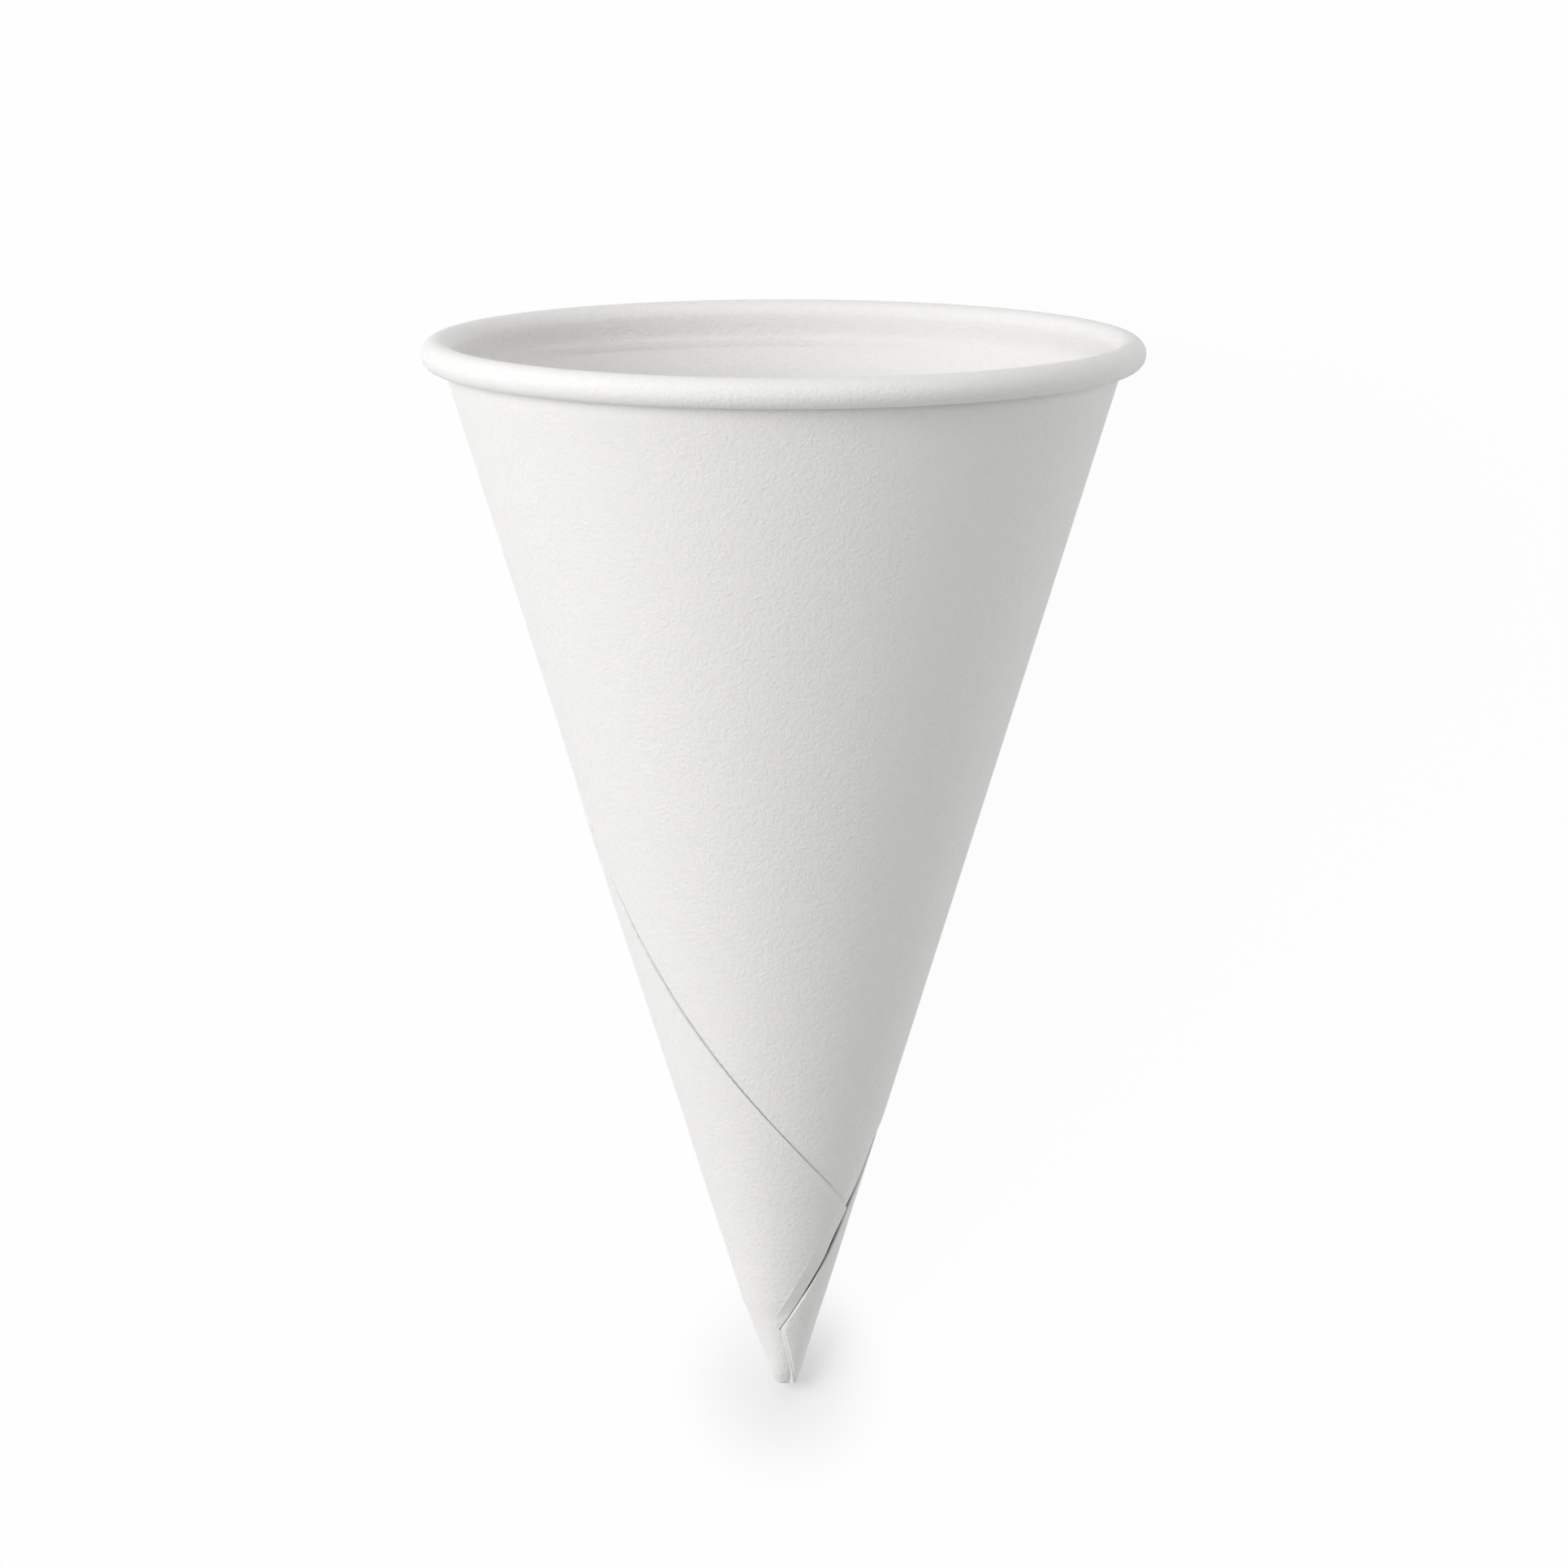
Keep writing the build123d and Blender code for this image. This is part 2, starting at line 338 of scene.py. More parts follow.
@dataclass
class SheetCuts:
    """The sheet's cut edges. Each place on them is a slant and an azimuth.

    Attributes:
        cone: The cone that the sheet is wound on.
        seam_upper: Where the outer turn's cut edge starts, at the neck.
        seam_side: Where it comes round the left side.
        seam_middle: Half way down its slope.
        seam_lower: Where it passes the front.
        corner: The lap's sharp corner, where that edge turns down towards the point.
        peak: Upper end of the opening that the tab lies in.
        hem_corner: Sharp corner of the tab's front edge.
        hem_end: Where the tab's hem meets the cut end.
        back_upper: Where the opening's back edge passes the right side.
        back_lower: Where it is level with the hem's corner.
        back_end: Where it meets the cut end.
        inner_upper: Where the inner turn's cut edge starts, at the neck.
        inner_lower: Where that edge fades into the thick wall.
        free_foot: Slant over which the tab's front edge stands free.
        free_foot_fade: Length over which that starts.
        free_top: Slant under which it stands free.
        free_top_fade: Length over which that starts.
        seam: The outer turn's cut edge down to the corner.
        foot: The same edge from the corner down to the hem's corner.
        shoulder: The opening's left edge over the corner.
        hem: The tab's lower front edge.
        back: The opening's back edge.
        inner: The inner turn's cut edge.
    """

    cone: Cone
    seam_upper: Place = (0.11035, -117.0)
    seam_side: Place = (0.0660, -83.0)
    seam_middle: Place = (0.0469, -47.8)
    seam_lower: Place = (0.0336, -2.3)
    corner: Place = (0.0242, 61.0)
    peak: Place = (0.0338, 89.0)
    hem_corner: Place = (0.01135, -7.0)
    hem_end: Place = (0.0050, 40.0)
    back_upper: Place = (0.0240, 148.0)
    back_lower: Place = (0.01135, 180.0)
    back_end: Place = (0.0050, 190.0)
    inner_upper: Place = (0.10956, 105.0)
    inner_lower: Place = (0.0400, 150.0)
    free_foot: float = 0.0135
    free_foot_fade: float = 0.0025
    free_top: float = 0.0290
    free_top_fade: float = 0.0035
    seam: CutEdge = field(init=False)
    foot: CutEdge = field(init=False)
    shoulder: CutEdge = field(init=False)
    hem: CutEdge = field(init=False)
    back: CutEdge = field(init=False)
    inner: CutEdge = field(init=False)

    def __post_init__(self) -> None:
        """Winds each edge on the cone."""
        seam = [self.seam_upper, self.seam_side, self.seam_middle, self.seam_lower, self.corner]
        back = [self.peak, self.back_upper, self.back_lower, self.back_end]
        self.seam = CutEdge(self.cone, seam)
        self.foot = CutEdge(self.cone, [self.corner, self.hem_corner])
        self.shoulder = CutEdge(self.cone, [self.peak, self.corner])
        self.hem = CutEdge(self.cone, [self.hem_corner, self.hem_end])
        self.back = CutEdge(self.cone, back)
        self.inner = CutEdge(self.cone, [self.inner_upper, self.inner_lower])

    def outer(self, slant: float) -> float:
        """Azimuth of the outer turn's cut edge: the seam, then the lap's foot, then the hem.

        Args:
            slant: Where it is taken.

        Returns:
            The azimuth.
        """
        if slant >= self.corner[0]:
            return self.seam.azimuth(slant)
        return self.tab_left(slant)

    def tab_left(self, slant: float) -> float:
        """Azimuth of the left side of the tab's opening.

        Args:
            slant: Where it is taken.

        Returns:
            The azimuth.
        """
        if slant >= self.corner[0]:
            return self.shoulder.azimuth(slant)
        if slant >= self.hem_corner[0]:
            return self.foot.azimuth(slant)
        return self.hem.azimuth(slant)

    def tab_right(self, slant: float) -> float:
        """Azimuth of the right side of the tab's opening."""
        return self.back.azimuth(slant)

    def free_edge(self, slant: float) -> float:
        """How far the tab's front edge stands free over the hollow under it, from 0 to 1."""
        low = ease(slant, self.free_foot, self.free_foot + self.free_foot_fade)
        return low * ease(slant, self.free_top, self.free_top - self.free_top_fade)


def sheet_of(name: str, rows: list[list[Point]], caps: bool) -> bpy.types.Object:
    """Makes a closed sheet of paper through rows of points that go round it.

    The sheet starts as a flat grid with a column for each point of a row. No operator winds a
    sheet on a cone, so the grid's points are laid on the rows in code. Operators then close it.

    Args:
        name: Name of the piece.
        rows: Rows of points, each from a place round the section and back to the same place.
        caps: Whether the first and last rows are rings to be filled.

    Returns:
        The finished object, in the rest position.
    """
    columns, count = len(rows[0]), len(rows)
    bpy.ops.object.select_all(action="DESELECT")
    bpy.ops.mesh.primitive_grid_add(
        x_subdivisions=columns - 1, y_subdivisions=count - 1, size=1.0, calc_uvs=False
    )
    piece = bpy.context.active_object
    piece.name = piece.data.name = name
    flat = np.zeros(columns * count * 3)
    piece.data.vertices.foreach_get("co", flat)
    flat = flat.reshape(-1, 3)
    across = np.rint((flat[:, 0] + 0.5) * (columns - 1)).astype(int)
    along = np.rint((flat[:, 1] + 0.5) * (count - 1)).astype(int)
    points = np.array(rows)[along, across]
    piece.data.vertices.foreach_set("co", points.ravel())
    piece.data.update()

    bpy.ops.object.mode_set(mode="EDIT")
    bpy.ops.mesh.select_mode(type="VERT")
    bpy.ops.mesh.select_all(action="SELECT")
    bpy.ops.mesh.remove_doubles(threshold=MERGE_DISTANCE)
    if caps:
        bpy.ops.mesh.select_all(action="SELECT")
        bpy.ops.mesh.fill_holes(sides=0)
    bpy.ops.mesh.select_all(action="SELECT")
    bpy.ops.mesh.normals_make_consistent(inside=False)
    bpy.ops.object.mode_set(mode="OBJECT")
    piece.data.transform(resting_place())
    bpy.ops.object.shade_smooth_by_angle(angle=math.radians(SMOOTH_ANGLE))
    return piece


def resting_place() -> Matrix:
    """Turn and shift that lay the standing cup on its side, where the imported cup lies.

    Returns:
        The matrix from the standing cup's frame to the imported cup's.
    """
    cone = Cone()
    nose_height = cone.nose_slant * cone.cos_half
    rise = cone.rim_height - nose_height
    run = cone.roll_middle - cone.wall_radius(nose_height)
    lean = math.atan2(run, rise) + math.asin(cone.roll_radius / math.hypot(rise, run))
    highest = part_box(NODE)[1]
    length = cone.rim_height * math.cos(lean) + cone.roll_middle * math.sin(lean) + cone.roll_radius
    height = cone.rim_height * math.sin(lean) + cone.roll_middle * math.cos(lean) + cone.roll_radius
    shift = Vector((0.0, highest.y - length, highest.z - height))
    return Matrix.Translation(shift) @ Matrix.Rotation(lean - math.pi / 2, 4, "X")


@dataclass(frozen=True)
class Opening:
    """How a section of the outer face meets the opening that the tab lies in.

    Attributes:
        slant: Where the section is.
        radius: Of the wall there.
        start: Azimuth of the outer turn's cut edge.
        left: Azimuth of the opening's left side.
        right: Azimuth of its right side.
        wall_width: Of the wall between the cut edge and the opening, in degrees.
        depth: Of the recess in the opening.
        pocket: How far the recess runs on under the sheet on its left.
        roof: Lift of that sheet's inner face.
    """

    slant: float
    radius: float
    start: float
    left: float
    right: float
    wall_width: float
    depth: float
    pocket: float
    roof: float


@dataclass
class WoundSheet:
    """The wound sheet: wall, lap, rolled rim and the recess that the tab lies in.

    Attributes:
        cone: The cone that it is wound on.
        cuts: Its cut edges.
        lap_turn: How far round from the seam its step has sunk into the wall, in degrees.
        foot_slant: Where the lap lies flat under the tab.
        foot_turn: Its step's turn there, in degrees.
        foot_end: Slant at which its lower end has sunk under the tab.
        foot_sink: How far that end sinks on, in sheets.
        crease_turn: From the lap's lower edge round to the soft crease beside it, in degrees.
        crease_dip: How far the lap sinks between the two.
        crease_ridge: How far the crease itself stands up.
        ridge_turn: Half the width of that ridge, in degrees.
        press: How far the paper is pressed in beside the tab's opening.
        press_turn: How far round from the opening that fades, in degrees.
        press_top: Slant at which it starts over the corner.
        press_foot: Slant at which it ends on the lap's foot.
        press_fade: Length over which it starts and ends.
        gap_depth: Depth of the recess that the tab lies in.
        hollow: How much deeper the recess is under the tab's free edge.
        gap_end: Slant at which the recess ends under the hem.
        under_left: How far its left side draws in there, in degrees.
        under_right: How far its right side draws in there, in degrees.
        pocket_reach: How far the recess runs on under the turn beside it.
        pocket_foot: Length over which that starts at the hem's corner.
        pocket_top: Length over which it starts under the opening's peak.
        corner_blend: Length over the corner in which its roof goes over from the lap to the wall.
        slit_reach: How far the lap's cut edge stands free of the wall.
        slit_depth: How far the wall dips along that edge.
        slit_width: Width of that dip, as it is seen from the front.
        slit_side: Azimuth past which that width stays, in degrees.
        slit_roof: How far over the wall's level the slit's roof lies.
        slit_closing: Width of the wall under which the slit closes, in degrees.
        glued_slant: Where the lap's edge is glued down and its slit ends.
        glued_fade: Length over which the slit closes.
        glued_press: How far the glued edge is pressed down.
        glued_turn: How far round from it that fades, in degrees.
        curl: How far the lap's free edge curls up.
        curl_turn: How far round from it that fades, in degrees.
        curl_fade: Length over the corner in which it starts.
        cut_round: Rounding of the cut edges.
        full_round: How many roundings wide the wall is where its edge is rounded in full.
        inner_press: Length below the roll over which the inner turn is pressed flat.
        side_azimuth: Where the point is pressed flatter than the cone.
        side_press: How far it is pressed in there.
        side_slant: Where that starts.
        side_deepest: Where it is deepest.
        side_end: Where it ends, under the point.
    """

    cone: Cone
    cuts: SheetCuts
    lap_turn: float = 75.0
    foot_slant: float = 0.0150
    foot_turn: float = 140.0
    foot_end: float = 0.0108
    foot_sink: float = 1.5
    crease_turn: float = 19.0
    crease_dip: float = 0.00030
    crease_ridge: float = 0.00005
    ridge_turn: float = 3.0
    press: float = 0.00024
    press_turn: float = 20.0
    press_top: float = 0.0335
    press_foot: float = 0.0185
    press_fade: float = 0.0030
    gap_depth: float = 0.00046
    hollow: float = 0.00020
    gap_end: float = 0.00695
    under_left: float = 36.0
    under_right: float = 16.0
    pocket_reach: float = 0.0009
    pocket_foot: float = 0.0025
    pocket_top: float = 0.0030
    corner_blend: float = 0.0005
    slit_reach: float = 0.00007
    slit_depth: float = 0.00008
    slit_width: float = 0.00011
    slit_side: float = 55.0
    slit_roof: float = 0.000004
    slit_closing: float = 2.0
    glued_slant: float = 0.0640
    glued_fade: float = 0.0160
    glued_press: float = 0.00011
    glued_turn: float = 8.0
    curl: float = 0.00005
    curl_turn: float = 1.8
    curl_fade: float = 0.0008
    cut_round: float = 0.000035
    full_round: float = 8.3776
    inner_press: float = 0.0030
    side_azimuth: float = -90.0
    side_press: float = 0.00040
    side_slant: float = 0.0140
    side_deepest: float = 0.0075
    side_end: float = 0.0045

    # How many points go round a ring and how many rings there are, and how they are spaced.
    LAP_COLUMNS = 128
    LAP_SPACING = 1.25
    RECESS_COLUMNS = 14
    POCKET_COLUMNS = 4
    WALL_COLUMNS = 96
    WALL_SPACING = 0.8
    RECESS_STEP = 10
    OUTER_COUNTS = (9, 16, 42, 36, 46, 34)
    INNER_COUNTS = (4, 24, 12)
    NECK_STEPS = 6
    NECK_FADE = 5
    UNDER_STEPS = 16
    ROLL_STEPS = 44
    FUNNEL_STEPS = 20
    FLOOR_STEPS = 8
    # Shares across and down: of the dip beside the lap's edge, and of a cut edge's rounding.
    SLIT = ((1.0, 0.0), (0.75, 0.45), (0.4, 0.9), (0.0, 1.0))
    ROUNDING = ((0.0, 1.0), (0.3, 0.3), (1.0, 0.0), (4.0, 0.0))

    def pressed_in(self, slant: float, turn: float) -> float:
        """How far the paper is pressed in at a turn round from the tab's opening.

        Args:
            slant: Where it is taken.
            turn: From the opening, in degrees.

        Returns:
            The depth of the press.
        """
        along = ease(slant, self.press_top, self.press_top - self.press_fade)
        along *= ease(slant, self.press_foot, self.press_foot + self.press_fade)
        return self.press * along * fall(turn / self.press_turn)

    def flattened(self, slant: float, azimuth: float) -> float:
        """How far the side of the point is pressed in.

        Args:
            slant: Where it is taken.
            azimuth: Where it is taken round the cup.

        Returns:
            The depth of the press.
        """
        along = share(slant, self.side_slant, self.side_deepest)
        along *= ease(slant, self.side_end, self.side_deepest)
        facing = max(math.cos(math.radians(azimuth - self.side_azimuth)), 0.0)
        return self.side_press * along * facing**2

    def glued(self, slant: float) -> float:
        """How far the lap's edge is glued down, from 0 to 1."""
        return ease(slant, self.glued_slant - self.glued_fade, self.glued_slant)

    def lap_lift(self, slant: float, turn: float) -> float:
        """Lift of the outer turn at a turn round from its cut edge.

        Args:
            slant: Where it is taken.
            turn: From the cut edge, in degrees.

        Returns:
            The lift.
        """
        cuts = self.cuts
        level = max(1 - self.foot_sink * ease(slant, self.foot_slant, self.foot_end), 0.0)
        flat = ease(slant, self.cone.fold_slant, self.foot_slant)
        reach = blend(flat, self.lap_turn, self.foot_turn)
        dip = self.crease_dip * max(0.0, 1 - turn / self.crease_turn)
        ridge = max(0.0, 1 - abs(turn - self.crease_turn) / self.ridge_turn)
        creased = ease(slant, cuts.corner[0], self.foot_slant) * level
        dent = (dip - self.crease_ridge * ridge) * creased
        beside = cuts.tab_left(slant) - cuts.outer(slant)
        dent += self.pressed_in(slant, beside + turn)
        dent += self.glued_press * self.glued(slant) * fall(turn / self.glued_turn)
        curl = self.curl * ease(slant, cuts.corner[0], cuts.corner[0] + self.curl_fade)
        curl *= (1 - self.glued(slant)) * (1 - share(turn, 0.0, self.curl_turn))
        return self.cone.sheet * level * fall(turn / reach) + curl - dent

    def edge_scale(self, height: float) -> float:
        """Share of the full rounding that an edge of a height has room for."""
        return min(1.0, height / (2 * self.cut_round))

    def rounded(self, radius: float, scale: float) -> Section:
        """Turns and drops over a rounded cut edge, from its face to its top.

        Args:
            radius: Of the wall there.
            scale: Share of the full rounding.

        Returns:
            Pairs of a turn in from the face and a drop from the top.
        """
        size = self.cut_round * scale
        turn = math.degrees(size / radius)
        return [(across * turn, down * size) for across, down in self.ROUNDING]

    def recess_depth(self, slant: float) -> float:
        """Depth of the recess that the tab lies in.

        Args:
            slant: Where it is taken.

        Returns:
            The depth, which is nothing past the recess's two ends.
        """
        step = self.cut_round * self.RECESS_STEP
        shown = share(slant, self.cuts.peak[0], self.cuts.peak[0] - step)
        shown *= share(slant, self.gap_end, self.gap_end + step)
        return shown * (self.gap_depth + self.hollow * self.cuts.free_edge(slant))

    def opening(self, slant: float, radius: float) -> Opening:
        """How the section at a slant meets the opening, where the wall has a radius.

        Args:
            slant: Where the section is.
            radius: Of the wall there.

        Returns:
            The opening's places and depths in that section.
        """
        cuts = self.cuts
        start = cuts.outer(slant)
        under = share(slant, cuts.hem_corner[0], self.gap_end)
        left = cuts.tab_left(slant) + self.under_left * under
        right = cuts.tab_right(slant) - self.under_right * under
        wall_width = 0.0
        if under > 0:
            start = left
        elif slant >= cuts.corner[0]:
            wall_width = max(left - start, 0.0)

        depth = self.recess_depth(slant)
        reach = ease(slant, cuts.hem_corner[0], cuts.hem_corner[0] + self.pocket_foot)
        reach *= ease(slant, cuts.peak[0], cuts.peak[0] - self.pocket_top)
        over = share(slant, cuts.corner[0], cuts.corner[0] + self.corner_blend)
        face = blend(over, self.lap_lift(slant, 0.0), -self.pressed_in(slant, 0.0))
        roof = max(face - self.cone.sheet, -depth)
        pocket = self.pocket_reach * reach
        return Opening(slant, radius, start, left, right, wall_width, depth, pocket, roof)

    def lap_section(self, opening: Opening) -> Section:
        """The outer turn, from its cut edge round to the opening's right side.

        Args:
            opening: How the section meets the opening.

        Returns:
            Pairs of an azimuth and a lift.
        """
        slant, start, radius = opening.slant, opening.start, opening.radius
        edge_height = self.lap_lift(slant, 0.0) + opening.depth
        near = self.rounded(radius, self.edge_scale(edge_height))
        far = self.rounded(radius, self.edge_scale(opening.depth))[::-1]
        span = start - (opening.right - FULL_TURN)
        turns = list(near)
        for step in range(1, self.LAP_COLUMNS):
            part = (step / self.LAP_COLUMNS) ** self.LAP_SPACING
            turns.append((blend(part, near[-1][0], span - far[0][0]), 0.0))
        turns += [(span - turn, drop) for turn, drop in far]
        return [(start - turn, self.lap_lift(slant, turn) - drop) for turn, drop in turns]

    def recess_section(self, opening: Opening) -> Section:
        """The recess, from its right side to its left, and the pocket that runs on there.

        Args:
            opening: How the section meets the opening.

        Returns:
            Pairs of an azimuth and a lift.
        """
        start, end = opening.right - FULL_TURN, opening.left - FULL_TURN
        floor = -opening.depth
        section = [(azimuth, floor) for azimuth in spaced([start, end], (self.RECESS_COLUMNS,))]
        pocket_end = end - math.degrees(opening.pocket / opening.radius)
        return section + [(pocket_end, floor), (pocket_end, opening.roof), (end, opening.roof)]

    def wall_section(self, opening: Opening) -> Section:
        """The wall, from the opening's left side to the outer turn's cut edge.

        Args:
            opening: How the section meets the opening.

        Returns:
            Pairs of an azimuth and a lift.
        """
        width, radius = opening.wall_width, opening.radius
        room = math.radians(width) * radius / (self.full_round * self.cut_round)
        corners = self.rounded(radius, min(self.edge_scale(opening.depth), room))
        slit = self.slit(opening)
        turns = list(corners)
        for step in range(1, self.WALL_COLUMNS + 1):
            part = (step / self.WALL_COLUMNS) ** self.WALL_SPACING
            turns.append((blend(part, corners[-1][0], width - slit[0][0]), 0.0))
        turns += [(width - turn, drop) for turn, drop in slit[1:]]
        end = opening.left - FULL_TURN
        section = []
        for turn, drop in turns:
            face = -self.pressed_in(opening.slant, turn) if width > 0 else opening.roof
            section.append((end - turn, face - drop))
        return section

    def outside_section(self, slant: float, radius: float) -> Section:
        """Azimuths and lifts of the outer face, once round from the outer turn's cut edge.

        Args:
            slant: Where the section is.
            radius: Of the wall there, which sets how far round a length goes.

        Returns:
            Pairs of an azimuth and a lift.
        """
        opening = self.opening(slant, radius)
        lap = self.lap_section(opening)
        section = lap + self.recess_section(opening) + self.wall_section(opening)
        section.append((opening.start - FULL_TURN, lap[0][1]))
        return [(azimuth, lift - self.flattened(slant, azimuth)) for azimuth, lift in section]

    def slit(self, opening: Opening) -> Section:
        """The wall's dip along the lap's cut edge, and the slit that runs in under the edge.

        Args:
            opening: Gives the cut edge and the wall beside it.

        Returns:
            Pairs of a turn out from the edge and a drop from the wall's face.
        """
        radius, width = opening.radius, opening.wall_width
        free = 1 - self.glued(opening.slant)
        slope = math.radians(min(max(opening.start, -self.slit_side), self.slit_side))
        hidden = self.cone.sheet * max(math.tan(slope), 0.0)
        turn = math.degrees((self.slit_width / math.cos(slope) + hidden) / radius) * free
        turn = min(turn, width / 2)
        shown = min(free, width / self.slit_closing)
        depth = self.slit_depth * shown
        inward = math.degrees(self.slit_reach / radius) * shown
        roof = -self.slit_roof * shown
        dip = [(turn * across, depth * down) for across, down in self.SLIT]
        return dip + [(-inward, depth), (-inward, roof), (0.0, roof)]

    def outside_heights(self) -> list[float]:
        """Heights of the rings of the outer face, closer to each other towards the point.

        Returns:
            The heights, from the cut end up to the neck.
        """
        cone, cuts = self.cone, self.cuts
        slants = (self.gap_end, cuts.hem_corner[0], cuts.corner[0], cuts.peak[0], self.glued_slant)
        stops = [cone.end_height, *(slant * cone.cos_half for slant in slants), cone.neck_height]
        step = self.cut_round * self.RECESS_STEP
        ends = [slant * cone.cos_half for slant in (cuts.peak[0] - step, self.gap_end + step)]
        return sorted(spaced(stops, self.OUTER_COUNTS) + ends)

    def outside_rows(self) -> list[list[Point]]:
        """Rings of the outer face, from the cut end up to the neck.

        Returns:
            The rings, each with as many points.
        """
        rows = []
        for height in self.outside_heights():
            radius = self.cone.nose_radius(height)
            section = self.outside_section(height / self.cone.cos_half, radius)
            rows.append(self.cone.ring(radius, height, section))
        return rows

    def neck_line(self) -> list[tuple[np.ndarray, np.ndarray]]:
        """Middle of the paper up the neck: places, each with the direction out from it.

        Returns:
            Pairs of a place, as a radius and a height, and the direction out from it.
        """
        cone = self.cone
        half = cone.sheet / 2
        start = (
            cone.wall_radius(cone.neck_height) - half * cone.cos_half,
            cone.neck_height + half * cone.sin_half,
        )
        end = (cone.roll_middle - (cone.roll_radius - half), cone.rim_height)
        rise = math.hypot(end[0] - start[0], end[1] - start[1])
        knots = np.array((start, end, (cone.sin_half * rise, cone.cos_half * rise), (0.0, rise)))
        line = []
        for part in spaced([0.0, 1.0], (self.NECK_STEPS,)):
            slope = cubic_slope(part) @ knots
            outward = np.array((slope[1], -slope[0])) / np.hypot(*slope)
            line.append((cubic(part) @ knots, outward))
        return line

    def arc(self, radius: float, count: int) -> list[Place]:
        """Radii and heights round the roll's section, from its inner side to its loose end.

        Args:
            radius: From the middle of the roll.
            count: How many steps the arc has.

        Returns:
            Pairs of a radius and a height.
        """
        cone = self.cone
        turns = np.radians(spaced([180.0, -cone.roll_angle], (count,)))
        radii = cone.roll_middle + radius * np.cos(turns)
        heights = cone.rim_height + radius * np.sin(turns)
        return list(zip(radii, heights))

    def roll_profile(self) -> list[Place]:
        """Radii and heights up the neck, through the inside of the roll and back over it.

        Returns:
            Pairs of a radius and a height.
        """
        cone = self.cone
        half = cone.sheet / 2
        line = self.neck_line()
        hidden = [tuple(place + half * outward) for place, outward in line[1:]]
        shown = [tuple(place - half * outward) for place, outward in line[:-1]]
        under = self.arc(cone.roll_radius - cone.sheet, self.UNDER_STEPS)[1:]
        over = self.arc(cone.roll_radius, self.ROLL_STEPS)
        return hidden + under + over[::-1] + shown[::-1]

    def roll_rows(self) -> list[list[Point]]:
        """Rings of the neck and the roll.

        Returns:
            The rings, from the outer face up through the roll and over it to the inner face.
        """
        cone, cuts = self.cone, self.cuts
        neck_radius = cone.wall_radius(cone.neck_height)
        section = self.outside_section(cone.neck_height / cone.cos_half, neck_radius)
        profile = self.roll_profile()
        rows = []
        for index, (radius, height) in enumerate(profile):
            faded = fall(index / self.NECK_FADE)
            shift = blend(index / (len(profile) - 1), 0.0, cuts.inner_upper[1] - cuts.peak[1])
            turned = [
                (azimuth + self._recess_share(column) * shift, lift * faded)
                for column, (azimuth, lift) in enumerate(section)
            ]
            rows.append(cone.ring(radius, height, turned))
        return rows

    def _recess_share(self, column: int) -> float:
        """How much a column turns with the recess's columns: all of it there, less beside them.

        Args:
            column: Place of the column in the section.

        Returns:
            The share, from 0 to 1.
        """
        lap_end = len(self.ROUNDING) + self.LAP_COLUMNS - 1
        recess_end = lap_end + 2 * len(self.ROUNDING) + self.RECESS_COLUMNS + self.POCKET_COLUMNS
        if column < lap_end:
            return column / lap_end
        if column > recess_end:
            return 1 - min((column - recess_end) / (self.WALL_COLUMNS - 1), 1.0)
        return 1.0

    def inside_section(self, slant: float) -> Section:
        """Azimuths and lifts of the inner face, with a point for each of the outer face's.

        Args:
            slant: Where the section is.

        Returns:
            Pairs of an azimuth and a lift.
        """
        cone, cuts = self.cone, self.cuts
        neck_slant = cone.neck_height / cone.cos_half
        start = cuts.seam.azimuth(max(slant, cuts.inner_lower[0]))
        inner_edge = cuts.inner.azimuth(max(slant, cuts.inner_lower[0])) - FULL_TURN
        wall = cone.wall_thickness(slant)
        pressed = share(slant, neck_slant, neck_slant - self.inner_press)
        doubled = max(2 * cone.sheet * blend(pressed, 0.5, 1.0), wall)
        section = []
        lap_steps = self.LAP_COLUMNS + 2 * len(self.ROUNDING) - 2
        for turn in spaced([0.0, start - inner_edge], (lap_steps,)):
            part = (1 - fall(turn / self.lap_turn)) * pressed
            section.append((start - turn, -blend(part, wall, doubled)))
        section += [(inner_edge, -wall)] * (self.RECESS_COLUMNS + self.POCKET_COLUMNS)
        wall_steps = self.WALL_COLUMNS + len(self.ROUNDING) + len(self.SLIT) + 1
        azimuths = spaced([inner_edge, start - FULL_TURN], (wall_steps,))
        section += [(azimuth, -wall) for azimuth in azimuths]
        section.append((start - FULL_TURN, section[0][1]))
        return section

    def funnel_profile(self) -> list[Place]:
        """Radii and heights inside, from the end of the wound wall down over the round floor.

        Returns:
            Pairs of a radius and a height.
        """
        cone = self.cone
        height = cone.fold_slant * cone.cos_half
        radius = cone.wall_radius(height) - cone.fold_wall / cone.cos_half
        radii = spaced([radius, cone.floor_radius], (self.FUNNEL_STEPS,))
        heights = spaced([height, cone.floor_height], (self.FUNNEL_STEPS,))
        turns = np.radians(spaced([0.0, 90.0], (self.FLOOR_STEPS,))[1:])
        floor_radii = cone.floor_radius * np.cos(turns)
        floor_heights = cone.floor_height - cone.floor_depth * np.sin(turns)
        return list(zip(radii[1:], heights[1:])) + list(zip(floor_radii, floor_heights))

    def inside_rows(self) -> list[list[Point]]:
        """Rings of the inner face, from the neck down to the floor.

        Returns:
            The rings, of which the last is the floor's middle.
        """
        cone = self.cone
        neck_slant = cone.neck_height / cone.cos_half
        stops = [neck_slant, neck_slant - self.inner_press, cone.turns_slant, cone.fold_slant]
        rows = []
        for slant in spaced(stops, self.INNER_COUNTS)[1:]:
            height = slant * cone.cos_half
            section = self.inside_section(slant)
            rows.append(cone.ring(cone.wall_radius(height), height, section))
        return rows + cone.round_rings(self.funnel_profile(), section)

